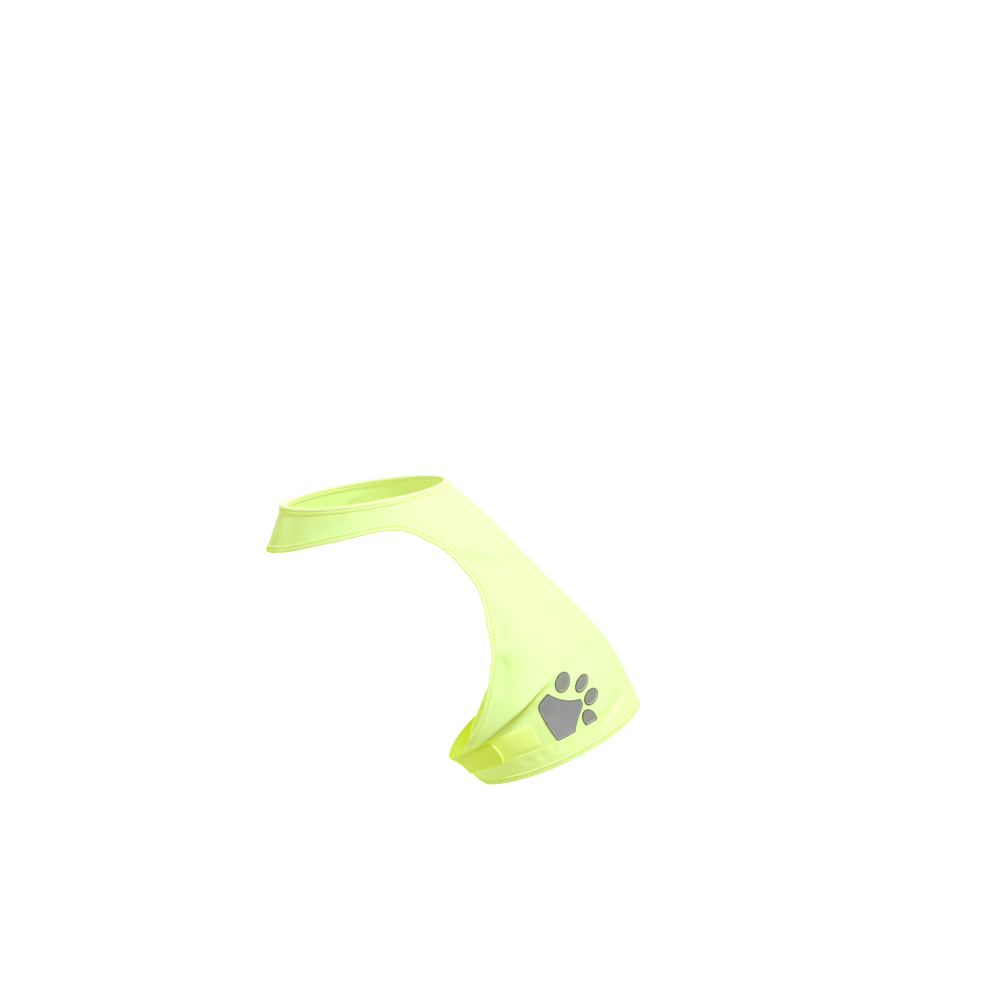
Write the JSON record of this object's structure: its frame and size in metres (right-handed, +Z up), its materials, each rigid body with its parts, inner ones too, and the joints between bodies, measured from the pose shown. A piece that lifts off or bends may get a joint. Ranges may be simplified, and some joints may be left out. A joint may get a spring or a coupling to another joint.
{
  "type": "dog safety vest",
  "caption": "High-visibility back-panel vest for a small dog, with bound edges, a throat closure, a belly strap with hook and loop, and a reflective paw on each flank.",
  "frame": {"origin": "on the spine line at the withers, on the inner face of the back panel, 15 mm down the back from the neck edge", "axes": "+Z up as worn, the wearer faces -X, the wearer's left side is at -Y; the inner face at the origin looks down and forwards"},
  "size_m": [0.3789, 0.2069, 0.3008],
  "materials": {
    "panel_cloth": "coated fluorescent yellow woven polyester, matte",
    "binding_tape": "woven fluorescent bias binding, matte",
    "strap_webbing": "yellow-green elastic webbing, matte ribbed",
    "loop_pile": "yellow loop pile, napped",
    "hook_tape": "yellow nylon hook tape, matte",
    "reflective_tape": "silver-grey reflective tape, satin"
  },
  "bodies": {
    "root": {"back_panel": "panel_cloth", "hem_band": "panel_cloth", "binding_neck": "binding_tape", "binding_outer": "binding_tape", "belly_strap": "strap_webbing", "strap_hook_tape": "hook_tape", "strap_loop_patch": "loop_pile", "throat_loop_tape": "loop_pile", "throat_hook_tape": "hook_tape", "paw_pad_left": "reflective_tape", "paw_toe_outer_left_left": "reflective_tape", "paw_toe_inner_left_left": "reflective_tape", "paw_toe_inner_right_left": "reflective_tape", "paw_toe_outer_right_left": "reflective_tape", "paw_pad_right": "reflective_tape", "paw_toe_outer_left_right": "reflective_tape", "paw_toe_inner_left_right": "reflective_tape", "paw_toe_inner_right_right": "reflective_tape", "paw_toe_outer_right_right": "reflective_tape"}
  },
  "joints": []
}
